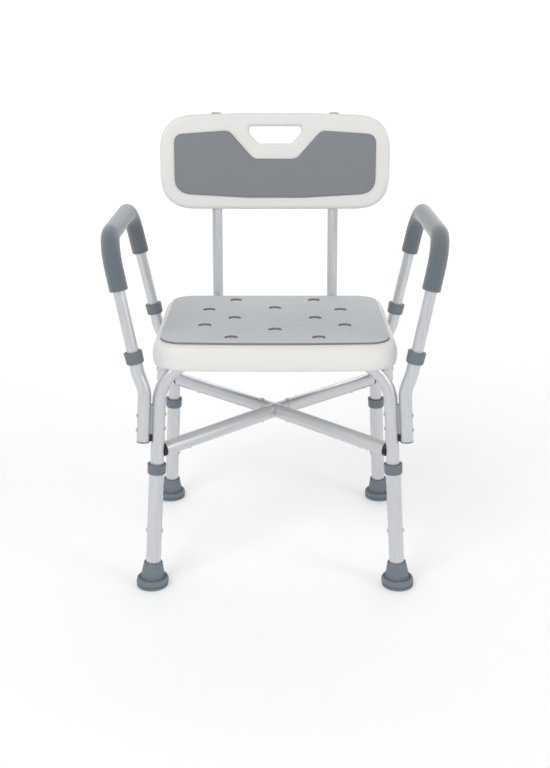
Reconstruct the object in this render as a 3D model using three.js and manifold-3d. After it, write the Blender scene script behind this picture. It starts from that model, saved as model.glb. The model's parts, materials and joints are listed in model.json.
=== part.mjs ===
// A bath chair: an aluminium frame with four height-adjustable legs, an X brace under the seat,
// a white seat and backrest with grey foam pads, and two armrest loops that slide in their posts.
// Millimetres, +Z up. The sitter faces -Y, so the chair's left side is +X.
import * as THREE from 'three';
import { mergeVertices } from 'three/addons/utils/BufferGeometryUtils.js';
import Module from 'manifold-3d';

const wasm = await Module();
wasm.setup();

// ---- driving dimensions -------------------------------------------------------------------

const GAP = 0.35;              // between pieces that touch on the real chair
const TUBE_SIDES = 12;

const FOOT_X = 238;            // where the leg axes meet the floor
const FOOT_Y = 209;
const SPLAY_X = 0.06;          // the legs lean in by this much for each mm of height
const SPLAY_Y = 0.078;

const INNER_LEG = { radius: 12.7, bore: 11.4, bottom: 85 };
const OUTER_LEG = { radius: 14.3, bore: 13.15, bottom: 12, top: 241 };
const LEG_COLLAR = { radius: 17.5, bottom: 226.5, top: 246 };
const BUTTON = { z: 112, radius: 4.2, tip: 16.8, tail: 8.4, flange: 5.4, flangeTop: 9.7 };
const LEAF = { thickness: 0.8, halfWidth: 3, below: 8, above: 36 };
const HEIGHT_STEP = 15;        // pitch of the adjustment holes
const HEIGHT_HOLES = 7;
const BUTTON_HOLE = 4.7;

const FRAME_RUN_Z = 446;       // axis of the tubes that cross under the seat
const FRAME_BEND = 85;

const SEAT = { halfWidth: 230, front: -195, rear: 200, bottom: 428, top: 474, corner: 60, edge: 12 };
const SEAT_PAD = { halfWidth: 214, front: -175, rear: 184, bottom: 471, top: 480, corner: 42 };
const PAD_BOW = 5;             // how far the front edge of the pad bows out
const PAD_HOLE = 12.5;
const DRAIN_HOLE = 5.5;
const BOSS = { radius: 11.5, top: 476 };   // the panel stands up inside each hole of the pad
// rows of pad holes: [y, [x of each hole]]
const HOLE_ROWS = [
  [146, [-82, 82]],
  [80, [0]],
  [66, [-134, 134]],
  [1, [-80, 80]],
  [-54, [-136, 136]],
  [-85, [0]],
  [-140, [-82, 82]],
];

const RECLINE = 0.1157;        // rearward lean of the back tubes for each mm of height
const BACK_TUBE = { x: 123, radius: 11.1, bore: 9.8, y: 212, atZ: 486, bend: 42, runZ: 410, front: 60 };
const BACK_TOP_Z = 853;
const BACK = { bottomZ: 659, halfWidth: 241, height: 198, bulge: 6, half: 17.5, bow: 10 };
const BACK_PAD = { front: -21.5, rear: -14.2, pocket: -13.8 };
const HANDLE = { bottom: 135.6, shoulder: 156.5, top: 170.5, halfTop: 54.6, halfBottom: 35, corner: 12 };

const POST = { radius: 12.5, bore: 11.45, offsetX: 27, offsetY: 5, bottom: 292, bendZ: 388, elbowZ: 420 };
const ARM_COLLAR = { x: 259.3, y: 181, z: 452.7, radius: 17, half: 11, lip: 1.5 };
const ARM_LEAN = 0.1926;       // outward lean of the armrest loops for each mm of height
const ARM = {
  radius: 11.1, bore: 9.8, bottomZ: 427, kinkZ: 478, topX: 301, topY: 165.6, topZ: 670, bend: 60,
};
const GRIP = { radius: 17.3, bore: 11.45, bottomZ: 576.5 };
const BOLT_HEIGHTS = [314, 342];
const BOLT = { shank: 2.2, hole: 2.6, head: 4.4, headHeight: 2.4 };

// four arms run from one point to the legs, and meet the front legs lower than the rear ones
const BRACE = {
  hubZ: 285.8, frontZ: 270, rearZ: 294, radius: 14.3, bore: 13, hub: 13.6, spigot: 12.5, inner: 27,
  legGap: 15.5,
};

// ---- materials ------------------------------------------------------------------------------

const standard = (color, roughness, metalness = 0) =>
  new THREE.MeshStandardMaterial({ color, roughness, metalness });
const aluminium = standard(0xb9bdc3, 0.38, 0.9);
const steel = standard(0xc2c4c7, 0.3, 1);
const whitePlastic = standard(0xe9e7e2, 0.45);
const greyPlastic = standard(0x76808a, 0.5);
const blackPlastic = standard(0x17181a, 0.5);
const seatFoam = standard(0xb9babd, 0.85);
const backFoam = standard(0x888b92, 0.85);
const gripFoam = standard(0x7a838a, 0.8);
const rubber = standard(0x69717a, 0.75);

// ---- geometry helpers -------------------------------------------------------------------------

const vec = (x, y, z) => new THREE.Vector3(x, y, z);
const UP = vec(0, 0, 1);

// A curve that visits exact stations, so that a sweep has a ring at each of them and nowhere else.
class StationCurve extends THREE.Curve {
  constructor(points, tangents) {
    super();
    this.points = points;
    this.tangents = tangents;
  }

  getPointAt(u, target = new THREE.Vector3()) {
    return target.copy(this.points[Math.round(u * (this.points.length - 1))]);
  }

  getTangentAt(u, target = new THREE.Vector3()) {
    return target.copy(this.tangents[Math.round(u * (this.points.length - 1))]);
  }
}

// The centre line through corners, with an arc of the given radius at each inner corner.
function bentRoute(corners, radius, arcSteps) {
  const points = [corners[0]];
  const tangents = [corners[1].clone().sub(corners[0]).normalize()];
  for (let i = 1; i < corners.length - 1; i += 1) {
    const corner = corners[i];
    const into = corner.clone().sub(corners[i - 1]).normalize();
    const out = corners[i + 1].clone().sub(corner).normalize();
    const angle = into.angleTo(out);
    const r = Array.isArray(radius) ? radius[i - 1] : radius;
    const start = corner.clone().addScaledVector(into, -r * Math.tan(angle / 2));
    const side = out.clone().addScaledVector(into, -out.dot(into)).normalize();
    const steps = Array.isArray(arcSteps) ? arcSteps[i - 1] : arcSteps;
    for (let k = 0; k <= steps; k += 1) {
      const a = (angle * k) / steps;
      const along = start.clone().addScaledVector(into, r * Math.sin(a));
      points.push(along.addScaledVector(side, r * (1 - Math.cos(a))));
      tangents.push(into.clone().multiplyScalar(Math.cos(a)).addScaledVector(side, Math.sin(a)));
    }
  }
  points.push(corners.at(-1));
  tangents.push(corners.at(-1).clone().sub(corners.at(-2)).normalize());
  return new StationCurve(points, tangents);
}

// Facets cut into a round bore, so its corners lie outside the stated radius.
const boreCorner = (radius, sides) => radius / Math.cos(Math.PI / sides);

function ring(radius, bore, sides) {
  const shape = new THREE.Shape();
  shape.absarc(0, 0, radius, 0, Math.PI * 2);
  if (bore) {
    shape.holes.push(new THREE.Path().absarc(0, 0, boreCorner(bore, sides), 0, Math.PI * 2, true));
  }
  return shape;
}

function sweep(route, radius, bore = 0, sides = TUBE_SIDES) {
  return new THREE.ExtrudeGeometry(ring(radius, bore, sides), {
    steps: route.points.length - 1,
    curveSegments: sides / 2,
    extrudePath: route,
  });
}

// A straight tube or rod between two points.
const straight = (from, to, radius, bore = 0, sides = TUBE_SIDES) =>
  sweep(bentRoute([from, to], 0, 0), radius, bore, sides);

// A cutter between two points, as wide as the stated radius at its flats.
const drill = (from, to, radius, sides = TUBE_SIDES) =>
  straight(from, to, boreCorner(radius, sides), 0, sides);

// A turned piece: profile points are [radius, height], and the axis is +Z.
function turned(profile, sides = TUBE_SIDES) {
  const points = profile.map(([r, z]) => new THREE.Vector2(r, z));
  return new THREE.LatheGeometry(points, sides).rotateX(Math.PI / 2);
}

const block = (x0, x1, y0, y1, z0, z1) =>
  new THREE.BoxGeometry(x1 - x0, y1 - y0, z1 - z0).translate((x0 + x1) / 2, (y0 + y1) / 2, (z0 + z1) / 2);

function toSolid(geometry) {
  const plain = geometry.clone();
  plain.deleteAttribute('normal');
  plain.deleteAttribute('uv');
  const merged = mergeVertices(plain);
  return new wasm.Manifold(new wasm.Mesh({
    numProp: 3,
    vertProperties: new Float32Array(merged.attributes.position.array),
    triVerts: new Uint32Array(merged.index.array),
  }));
}

function toGeometry(solid) {
  const mesh = solid.getMesh();
  const geometry = new THREE.BufferGeometry();
  geometry.setAttribute('position', new THREE.BufferAttribute(new Float32Array(mesh.vertProperties), 3));
  geometry.setIndex(new THREE.BufferAttribute(new Uint32Array(mesh.triVerts), 1));
  geometry.computeVertexNormals();
  return geometry;
}

const union = (geometries) => geometries.map(toSolid).reduce((a, b) => a.add(b));

const joined = (geometries) => toGeometry(union(geometries));

const cut = (base, cutters) => toGeometry(toSolid(base).subtract(union(cutters)));

const shared = (a, b) => toGeometry(toSolid(a).intersect(toSolid(b)));

const root = new THREE.Group();
const chair = new THREE.Group();
root.add(chair);

function piece(name, geometry, material, parent = chair) {
  const mesh = new THREE.Mesh(geometry, material);
  mesh.name = name;
  parent.add(mesh);
  return mesh;
}

// A geometry moved so that its own +Z axis leaves a point in a direction.
function aimed(geometry, origin, direction) {
  const turn = new THREE.Quaternion().setFromUnitVectors(UP, direction.clone().normalize());
  return geometry.applyMatrix4(new THREE.Matrix4().compose(origin, turn, vec(1, 1, 1)));
}

// ---- the four corners -------------------------------------------------------------------------

const CORNERS = [
  { name: 'front_left', sx: 1, sy: -1 },
  { name: 'front_right', sx: -1, sy: -1 },
  { name: 'rear_left', sx: 1, sy: 1 },
  { name: 'rear_right', sx: -1, sy: 1 },
];

const legPoint = (corner, z) =>
  vec(corner.sx * (FOOT_X - SPLAY_X * z), corner.sy * (FOOT_Y - SPLAY_Y * z), z);

const legDirection = (corner) => vec(-corner.sx * SPLAY_X, -corner.sy * SPLAY_Y, 1).normalize();

// Distance along a leg's axis for a height above the floor.
const LEG_SLANT = Math.hypot(SPLAY_X, SPLAY_Y, 1);
const along = (z) => z * LEG_SLANT;

function legGroup(corner) {
  const group = new THREE.Group();
  group.position.copy(legPoint(corner, 0));
  group.quaternion.setFromUnitVectors(UP, legDirection(corner));
  chair.add(group);
  return group;
}

function buttonHoles(count) {
  return Array.from({ length: count }, (_, k) => {
    const z = along(BUTTON.z) + k * HEIGHT_STEP;
    return drill(vec(-20, 0, z), vec(20, 0, z), BUTTON_HOLE, 6);
  });
}

// A snap button on its spring leaf, which lies inside the inner tube. It points along X.
function buttonGeometry(side) {
  const knob = turned([
    [0, BUTTON.tail],
    [BUTTON.flange, BUTTON.tail],
    [BUTTON.flange, BUTTON.flangeTop],
    [BUTTON.radius, BUTTON.flangeTop],
    [BUTTON.radius, BUTTON.tip - 2.2],
    [BUTTON.radius * 0.7, BUTTON.tip - 0.6],
    [0, BUTTON.tip],
  ], 8).rotateY(Math.PI / 2);
  const { thickness, halfWidth, below, above } = LEAF;
  const leaf = block(BUTTON.tail - thickness, BUTTON.tail + 0.2, -halfWidth, halfWidth, -below, above);
  const geometry = joined([knob, leaf]);
  return side > 0 ? geometry : geometry.rotateZ(Math.PI);
}

function addLeg(corner) {
  const group = legGroup(corner);
  const tube = straight(
    vec(0, 0, along(OUTER_LEG.bottom)), vec(0, 0, along(OUTER_LEG.top)), OUTER_LEG.radius, OUTER_LEG.bore);
  piece(`leg_extension_${corner.name}`, cut(tube, buttonHoles(HEIGHT_HOLES)), aluminium, group);

  const { radius, bottom, top } = LEG_COLLAR;
  const socket = boreCorner(OUTER_LEG.radius + GAP, TUBE_SIDES);
  const lip = boreCorner(INNER_LEG.radius + GAP, TUBE_SIDES);
  const shelf = along(OUTER_LEG.top) + GAP;
  piece(`leg_collar_${corner.name}`, turned([
    [socket, along(bottom)],
    [radius - 2, along(bottom)],
    [radius, along(bottom) + 3],
    [radius, along(top) - 4],
    [radius + 0.5, along(top)],
    [lip, along(top)],
    [lip, shelf],
    [socket, shelf],
    [socket, along(bottom)],
  ]), greyPlastic, group);

  for (const side of [1, -1]) {
    const place = side * corner.sx > 0 ? 'outer' : 'inner';
    const button = piece(`leg_button_${corner.name}_${place}`, buttonGeometry(side), steel, group);
    button.position.z = along(BUTTON.z);
  }
}

// A foot stands upright on the floor, and its neck follows the leg.
function footGeometry(corner) {
  const sole = turned([
    [0, 0], [28.5, 0], [30.5, 4], [31, 9], [30, 15], [26.5, 21], [20, 25], [0, 25],
  ]);
  const neckProfile = [[0, 6], [22.5, 6], [22, 25], [17.6, 48.5], [0, 48.5]];
  const neck = aimed(turned(neckProfile), vec(0, 0, 0), legDirection(corner));
  const direction = legDirection(corner);
  const socket = drill(
    direction.clone().multiplyScalar(along(OUTER_LEG.bottom) - GAP), direction.clone().multiplyScalar(60),
    OUTER_LEG.radius + GAP);
  return toGeometry(union([sole, neck]).subtract(toSolid(socket)));
}

function addFoot(corner) {
  const foot = piece(`foot_${corner.name}`, footGeometry(corner), rubber);
  foot.position.copy(legPoint(corner, 0));
}

// ---- seat frame -------------------------------------------------------------------------------

function frameRoute(sy) {
  const left = { sx: 1, sy };
  const right = { sx: -1, sy };
  return bentRoute([
    legPoint(left, INNER_LEG.bottom),
    legPoint(left, FRAME_RUN_Z),
    legPoint(right, FRAME_RUN_Z),
    legPoint(right, INNER_LEG.bottom),
  ], FRAME_BEND, 4);
}

// From a leg towards its armrest post, level.
const postOffset = (corner) => vec(corner.sx * POST.offsetX, corner.sy * POST.offsetY, 0);

function boltAxis(corner, z) {
  const leg = legPoint(corner, z);
  const out = postOffset(corner);
  const unit = out.clone().normalize();
  return { inner: leg.clone().addScaledVector(unit, -INNER_LEG.radius), outer: leg.clone().add(out)
    .addScaledVector(unit, POST.radius), unit };
}

function boltDrills(corner) {
  return BOLT_HEIGHTS.map((z) => {
    const { inner, outer, unit } = boltAxis(corner, z);
    const start = inner.clone().addScaledVector(unit, -5);
    return drill(start, outer.clone().addScaledVector(unit, 5), BOLT.hole, 6);
  });
}

function frameGeometry(sy) {
  const cutters = CORNERS.filter((corner) => corner.sy === sy).flatMap((corner) => {
    const middle = legPoint(corner, BUTTON.z);
    const side = vec(20, 0, 0).applyQuaternion(
      new THREE.Quaternion().setFromUnitVectors(UP, legDirection(corner)));
    const buttons = drill(middle.clone().sub(side), middle.clone().add(side), BUTTON_HOLE, 6);
    return [buttons, ...boltDrills(corner)];
  });
  return cut(sweep(frameRoute(sy), INNER_LEG.radius, INNER_LEG.bore), cutters);
}

// ---- seat ---------------------------------------------------------------------------------------

// A rounded rectangle in X and Y whose front edge bows out.
function seatOutline(size, bow, grow = 0) {
  const x = size.halfWidth + grow;
  const y0 = size.front - grow;
  const y1 = size.rear + grow;
  const r = size.corner;
  const shape = new THREE.Shape();
  shape.moveTo(-x + r, y0);
  shape.quadraticCurveTo(0, y0 - 2 * bow, x - r, y0);
  shape.absarc(x - r, y0 + r, r, -Math.PI / 2, 0);
  shape.absarc(x - r, y1 - r, r, 0, Math.PI / 2);
  shape.absarc(-x + r, y1 - r, r, Math.PI / 2, Math.PI);
  shape.absarc(-x + r, y0 + r, r, Math.PI, Math.PI * 1.5);
  return shape;
}

const padHoles = () => HOLE_ROWS.flatMap(([y, columns]) => columns.map((x) => ({ x, y })));

function seatPadGeometry() {
  const shape = seatOutline(SEAT_PAD, PAD_BOW);
  for (const { x, y } of padHoles()) {
    shape.holes.push(new THREE.Path().absarc(x, y, PAD_HOLE, 0, Math.PI * 2, true));
  }
  const depth = SEAT_PAD.top - SEAT_PAD.bottom;
  return new THREE.ExtrudeGeometry(shape, { depth, bevelEnabled: false, curveSegments: 5 })
    .translate(0, 0, SEAT_PAD.bottom);
}

function seatPanelGeometry() {
  const edge = SEAT.edge;
  const body = new THREE.ExtrudeGeometry(seatOutline(SEAT, 4), {
    depth: SEAT.top - SEAT.bottom - 2 * edge,
    curveSegments: 4,
    bevelThickness: edge,
    bevelSize: edge,
    bevelOffset: -edge,
    bevelSegments: 2,
  }).translate(0, 0, SEAT.bottom + edge);

  const pocket = new THREE.ExtrudeGeometry(seatOutline(SEAT_PAD, PAD_BOW, 0.5), {
    depth: 20, bevelEnabled: false, curveSegments: 4,
  }).translate(0, 0, SEAT_PAD.bottom - GAP);
  const bosses = padHoles().map(({ x, y }) =>
    straight(vec(x, y, SEAT_PAD.bottom - 5), vec(x, y, BOSS.top), BOSS.radius, 0, 8));
  const drains = padHoles().map(({ x, y }) =>
    drill(vec(x, y, SEAT.bottom - 5), vec(x, y, BOSS.top + 5), DRAIN_HOLE, 8));

  // Channels under the seat take the two crossing tubes.
  const channelHalf = INNER_LEG.radius + 0.8;
  const channels = [-1, 1].flatMap((sy) => {
    const y = legPoint({ sx: 1, sy }, FRAME_RUN_Z).y;
    return [
      sweep(frameRoute(sy), boreCorner(channelHalf, TUBE_SIDES)),
      block(-192, 192, y - channelHalf, y + channelHalf, SEAT.bottom - 8, FRAME_RUN_Z),
    ];
  });
  const shell = cut(body, [pocket, ...channels, ...backTubeCutters(0.6)]);
  return cut(joined([shell, ...bosses]), drains);
}

// ---- backrest -----------------------------------------------------------------------------------

const backTubePoint = (sx, z) => vec(sx * BACK_TUBE.x, BACK_TUBE.y + (z - BACK_TUBE.atZ) * RECLINE, z);

function backTubeRoute(sx) {
  return bentRoute([
    vec(sx * BACK_TUBE.x, BACK_TUBE.front, BACK_TUBE.runZ),
    backTubePoint(sx, BACK_TUBE.runZ),
    backTubePoint(sx, BACK_TOP_Z),
  ], BACK_TUBE.bend, 4);
}

// Two bars under the seat tie the level runs of the back tubes to each other and to the panel.
const BRACKET = { halfX: 142, halfY: 8, bottom: BACK_TUBE.runZ - BACK_TUBE.radius - 4 };

function bracketGeometry(y) {
  const { halfX, halfY, bottom } = BRACKET;
  const bar = block(-halfX, halfX, y - halfY, y + halfY, bottom, SEAT.bottom - GAP);
  const relief = block(-90, 90, y - halfY - 1, y + halfY + 1, bottom - 1, SEAT.bottom - 14);
  return cut(bar, [relief, ...backTubeCutters(GAP)]);
}

const backTubeCutters = (clearance) => [-1, 1].map((sx) =>
  sweep(backTubeRoute(sx), boreCorner(BACK_TUBE.radius + clearance, TUBE_SIDES)));

// The backrest's own frame: x across, z up the slope from the middle of its lower edge, y rearward.
const backrest = new THREE.Group();
backrest.position.copy(backTubePoint(0, BACK.bottomZ));
backrest.rotation.x = -Math.atan(RECLINE);
chair.add(backrest);

// Curves forward towards its sides.
const backBow = (x) => -BACK.bow * (x / BACK.halfWidth) ** 2;

// A band that follows the curve of the back between two depths.
function backBand(near, far, halfWidth, z0, z1) {
  const steps = 12;
  const shape = new THREE.Shape();
  const xs = Array.from({ length: steps + 1 }, (_, k) => -halfWidth + (2 * halfWidth * k) / steps);
  xs.forEach((x, k) => (k ? shape.lineTo(x, near + backBow(x)) : shape.moveTo(x, near + backBow(x))));
  xs.reverse().forEach((x) => shape.lineTo(x, far + backBow(x)));
  return new THREE.ExtrudeGeometry(shape, { depth: z1 - z0, bevelEnabled: false }).translate(0, 0, z0);
}

// A prism through the back from an outline in x and z.
const throughBack = (shape) =>
  new THREE.ExtrudeGeometry(shape, { depth: 120, bevelEnabled: false, curveSegments: 5 })
    .rotateX(Math.PI / 2).translate(0, 60, 0);

// A closed outline through corners [x, z, radius], each rounded with a quadratic arc.
function roundedOutline(corners, grow = 0) {
  const count = corners.length;
  const points = corners.map(([x, z]) => new THREE.Vector2(x, z));
  const shape = new THREE.Shape();
  for (let i = 0; i < count; i += 1) {
    const here = points[i];
    const before = points[(i + count - 1) % count];
    const after = points[(i + 1) % count];
    const into = here.clone().sub(before).normalize();
    const out = after.clone().sub(here).normalize();
    const half = Math.atan2(into.cross(out), into.dot(out)) / 2;
    const outward = new THREE.Vector2(into.y, -into.x).add(new THREE.Vector2(out.y, -out.x)).normalize()
      .multiplyScalar(grow / Math.cos(half));
    const reach = corners[i][2] * Math.abs(Math.tan(half));
    const corner = here.clone().add(outward);
    const start = corner.clone().addScaledVector(into, -reach);
    const end = corner.clone().addScaledVector(out, reach);
    if (i) {
      shape.lineTo(start.x, start.y);
    } else {
      shape.moveTo(start.x, start.y);
    }
    shape.quadraticCurveTo(corner.x, corner.y, end.x, end.y);
  }
  shape.closePath();
  return shape;
}

const mirrored = (half) => [...half, ...half.map(([x, z, r]) => [-x, z, r]).reverse()];

// Outlines run anticlockwise from the lower middle, right half first.
const backOutline = () => mirrored([
  [70, -1, 300],
  [BACK.halfWidth, 0, 72],
  [BACK.halfWidth, BACK.height - BACK.bulge, 74],
  [70, BACK.height, 300],
]);

const padOutline = () => mirrored([
  [60, 24, 300],
  [210, 33, 30],
  [210, 153, 15],
  [97, 161, 12],
  [45, 103, 14],
]);

const handleOutline = () => mirrored([
  [HANDLE.halfBottom, HANDLE.bottom, HANDLE.corner],
  [HANDLE.halfTop, HANDLE.shoulder, HANDLE.corner],
  [HANDLE.halfTop, HANDLE.top, 6.5],
]);

// The back tubes seen from the backrest's own frame.
function backTubeBores() {
  return [-1, 1].map((sx) => {
    const low = vec(sx * BACK_TUBE.x, 0, -20);
    return drill(low, vec(low.x, 0, BACK.height + 20), BACK_TUBE.radius + GAP);
  });
}

function backPanelGeometry() {
  const band = backBand(-BACK.half, BACK.half, BACK.halfWidth + 5, -10, BACK.height + 10);
  const body = shared(band, throughBack(roundedOutline(backOutline())));
  const pocketBand = backBand(-BACK.half - 10, BACK_PAD.pocket, BACK.halfWidth, 0, BACK.height);
  const pocket = shared(pocketBand, throughBack(roundedOutline(padOutline(), 0.5)));
  const handle = throughBack(roundedOutline(handleOutline()));
  return cut(body, [pocket, handle, ...backTubeBores()]);
}

function backPadGeometry() {
  const band = backBand(BACK_PAD.front, BACK_PAD.rear, BACK.halfWidth, 0, BACK.height);
  return shared(band, throughBack(roundedOutline(padOutline())));
}

// ---- armrests -----------------------------------------------------------------------------------

const armLineX = (z) => ARM_COLLAR.x + (z - ARM_COLLAR.z) * ARM_LEAN;

const armPoint = (corner, z) => vec(corner.sx * armLineX(z), corner.sy * ARM_COLLAR.y, z);

const armDirection = (sx) => vec(sx * ARM_LEAN, 0, 1).normalize();

function postRoute(corner) {
  const out = postOffset(corner);
  const top = armPoint(corner, ARM_COLLAR.z)
    .addScaledVector(armDirection(corner.sx), ARM_COLLAR.half - ARM_COLLAR.lip - GAP);
  return bentRoute([
    legPoint(corner, POST.bottom).add(out),
    legPoint(corner, POST.bendZ).add(out),
    armPoint(corner, POST.elbowZ),
    top,
  ], [60, 60], [2, 1]);
}

function addPost(corner) {
  const tube = sweep(postRoute(corner), POST.radius, POST.bore);
  piece(`arm_post_${corner.name}`, cut(tube, boltDrills(corner)), aluminium);
}

function addArmCollar(corner) {
  const { radius, half, lip } = ARM_COLLAR;
  const socket = boreCorner(POST.radius + GAP, TUBE_SIDES);
  const mouth = boreCorner(POST.bore, TUBE_SIDES);
  const collar = piece(`arm_collar_${corner.name}`, turned([
    [socket, -half],
    [radius - 2, -half],
    [radius, -half + 3],
    [radius, half - 3],
    [radius - 0.5, half],
    [mouth, half],
    [mouth, half - lip],
    [socket, half - lip],
    [socket, -half],
  ]), greyPlastic);
  collar.position.copy(armPoint(corner, ARM_COLLAR.z));
  collar.quaternion.setFromUnitVectors(UP, armDirection(corner.sx));
}

// One end of an armrest loop, from inside its post to the corner at the top.
function armSide(corner) {
  return [
    armPoint(corner, ARM.bottomZ),
    armPoint(corner, ARM.kinkZ),
    vec(corner.sx * ARM.topX, corner.sy * ARM.topY, ARM.topZ),
  ];
}

function armRoute(sx) {
  const front = armSide({ sx, sy: -1 });
  const rear = armSide({ sx, sy: 1 });
  return bentRoute([...front, ...rear.reverse()], [120, ARM.bend, ARM.bend, 120], [1, 4, 4, 1]);
}

function gripRoute(sx) {
  const [, kink, top] = armSide({ sx, sy: -1 });
  const t = (GRIP.bottomZ - ARM.kinkZ) / (ARM.topZ - ARM.kinkZ);
  const end = kink.clone().lerp(top, t);
  const mirror = (p) => vec(p.x, -p.y, p.z);
  return bentRoute([end, top, mirror(top), mirror(end)], ARM.bend, 4);
}

// What holds a post to its leg: a strip in the gap between them, and two bolts through both.
const STRIP = { half: 0.75, halfWidth: 3, bottom: 295, top: 362 };

function armFixing(corner) {
  const out = postOffset(corner).multiplyScalar(0.5);
  const low = legPoint(corner, STRIP.bottom).add(out);
  const high = legPoint(corner, STRIP.top).add(out);
  const axis = high.clone().sub(low);
  const across = out.clone().normalize();
  const along = axis.clone().normalize();
  const basis = new THREE.Matrix4().makeBasis(across, along.clone().cross(across), along);
  const { half, halfWidth } = STRIP;
  const strip = block(-half, half, -halfWidth, halfWidth, 0, axis.length())
    .applyMatrix4(basis.setPosition(low));
  const bolts = BOLT_HEIGHTS.map((z) => {
    const { inner, outer, unit } = boltAxis(corner, z);
    const length = inner.distanceTo(outer);
    return aimed(turned([
      [0, -BOLT.headHeight - GAP],
      [BOLT.head * 0.75, -BOLT.headHeight * 0.7],
      [BOLT.head, -GAP],
      [BOLT.shank, -GAP],
      [BOLT.shank, length + GAP],
      [BOLT.head, length + GAP],
      [BOLT.head * 0.75, length + BOLT.headHeight * 0.7],
      [0, length + BOLT.headHeight + GAP],
    ], 6), inner, unit);
  });
  return joined([strip, ...bolts]);
}

// ---- X brace ------------------------------------------------------------------------------------

const BRACE_HUB = vec(0, 0, BRACE.hubZ);

// Where an arm of the brace would reach a leg's axis.
const braceLegZ = (corner) => (corner.sy < 0 ? BRACE.frontZ : BRACE.rearZ);

const braceRun = (corner) => legPoint(corner, braceLegZ(corner)).sub(BRACE_HUB);

const braceDirection = (corner) => braceRun(corner).normalize();

const bracePoint = (corner, distance) => BRACE_HUB.clone().addScaledVector(braceDirection(corner), distance);

const braceEnd = (corner) => braceRun(corner).length() - BRACE.legGap;

function addBraceTube(corner) {
  const tube = straight(
    bracePoint(corner, BRACE.inner), bracePoint(corner, braceEnd(corner)), BRACE.radius, BRACE.bore);
  piece(`brace_tube_${corner.name}`, tube, aluminium);
}

function braceHub() {
  const arms = CORNERS.flatMap((corner) => [
    straight(bracePoint(corner, -2), bracePoint(corner, BRACE.inner - GAP), BRACE.hub),
    straight(bracePoint(corner, 0), bracePoint(corner, 2 * BRACE.inner), BRACE.spigot),
  ]);
  return joined(arms);
}

// A black plug closes each brace tube and saddles against the leg.
function braceSaddle(corner) {
  const nose = BRACE.legGap - 9;
  const plug = aimed(turned([
    [0, -14],
    [BRACE.spigot, -14],
    [BRACE.spigot, GAP],
    [BRACE.radius - 0.3, GAP],
    [BRACE.radius - 1.5, nose],
    [0, nose],
  ]), bracePoint(corner, braceEnd(corner)), braceDirection(corner));
  const z = braceLegZ(corner);
  const leg = drill(legPoint(corner, z - 40), legPoint(corner, z + 40), INNER_LEG.radius + GAP);
  return cut(plug, [leg]);
}

// ---- assembly -----------------------------------------------------------------------------------

for (const corner of CORNERS) {
  addLeg(corner);
  addFoot(corner);
  addPost(corner);
  addArmCollar(corner);
  addBraceTube(corner);
  piece(`arm_fixing_${corner.name}`, armFixing(corner), steel);
  piece(`brace_saddle_${corner.name}`, braceSaddle(corner), blackPlastic);
}

piece('front_frame', frameGeometry(-1), aluminium);
piece('rear_frame', frameGeometry(1), aluminium);
piece('brace_hub', braceHub(), aluminium);

piece('seat_panel', seatPanelGeometry(), whitePlastic);
piece('seat_pad', seatPadGeometry(), seatFoam);
piece('back_bracket_front', bracketGeometry(97), greyPlastic);
piece('back_bracket_rear', bracketGeometry(129), greyPlastic);

for (const [side, sx] of [['left', 1], ['right', -1]]) {
  piece(`back_tube_${side}`, sweep(backTubeRoute(sx), BACK_TUBE.radius, BACK_TUBE.bore), aluminium);
  piece(`arm_loop_${side}`, sweep(armRoute(sx), ARM.radius, ARM.bore), aluminium);
  piece(`arm_grip_${side}`, sweep(gripRoute(sx), GRIP.radius, GRIP.bore), gripFoam);
}
piece('back_panel', backPanelGeometry(), whitePlastic, backrest);
piece('back_pad', backPadGeometry(), backFoam, backrest);

// The origin is on the floor, under the middle of the chair's box.
chair.updateMatrixWorld(true);
const middle = new THREE.Box3().setFromObject(chair, true).getCenter(vec(0, 0, 0));
chair.position.set(-middle.x, -middle.y, 0);

export default root;
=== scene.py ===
"""The looks of a bath chair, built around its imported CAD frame.

Lengths are millimetres until a mesh is made. +Z is up, the sitter faces -Y, and left is +X.
"""
import json
import math

import bmesh
import bpy
from mathutils import Matrix, Vector


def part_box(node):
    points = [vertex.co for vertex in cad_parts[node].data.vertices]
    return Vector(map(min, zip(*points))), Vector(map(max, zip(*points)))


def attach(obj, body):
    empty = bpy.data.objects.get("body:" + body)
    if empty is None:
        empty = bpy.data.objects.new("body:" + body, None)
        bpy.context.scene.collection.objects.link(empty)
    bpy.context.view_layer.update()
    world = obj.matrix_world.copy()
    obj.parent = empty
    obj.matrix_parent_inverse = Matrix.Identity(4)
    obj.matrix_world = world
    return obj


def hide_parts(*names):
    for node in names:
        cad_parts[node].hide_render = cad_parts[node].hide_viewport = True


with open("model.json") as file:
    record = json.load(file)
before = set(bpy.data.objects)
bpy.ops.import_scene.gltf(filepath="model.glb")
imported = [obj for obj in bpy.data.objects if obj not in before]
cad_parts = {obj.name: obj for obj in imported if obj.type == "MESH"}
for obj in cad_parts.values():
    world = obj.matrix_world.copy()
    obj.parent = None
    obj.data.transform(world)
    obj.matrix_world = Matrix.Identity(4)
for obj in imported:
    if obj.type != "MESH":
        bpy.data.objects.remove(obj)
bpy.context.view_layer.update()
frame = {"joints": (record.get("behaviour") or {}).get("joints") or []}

MM = 0.001
X = Vector((1, 0, 0))
UP = Vector((0, 0, 1))

ROUND = 56                 # sides of a tube or a turned piece
FOOT_ROUND = 72
PLUG_ROUND = 48
BUTTON_ROUND = 32          # also for the drains and for tools that are cut away
SCREW_ROUND = 28


def box_mm(node):
    low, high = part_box(node)
    return low / MM, high / MM


def middle_mm(node):
    low, high = box_mm(node)
    return (low + high) / 2


JOINT_AXIS = {joint["name"]: Vector(joint["axis"]) for joint in frame["joints"]}

# ---- sizes of the design, as in the CAD ------------------------------------------------------

INNER_LEG = 12.7           # outer radii of the tubes
OUTER_LEG = 14.3
POST_TUBE = 12.5
ARM_TUBE = 11.1
BACK_TUBE = 11.1
BRACE_TUBE = 14.3
WALL = 1.3

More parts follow.
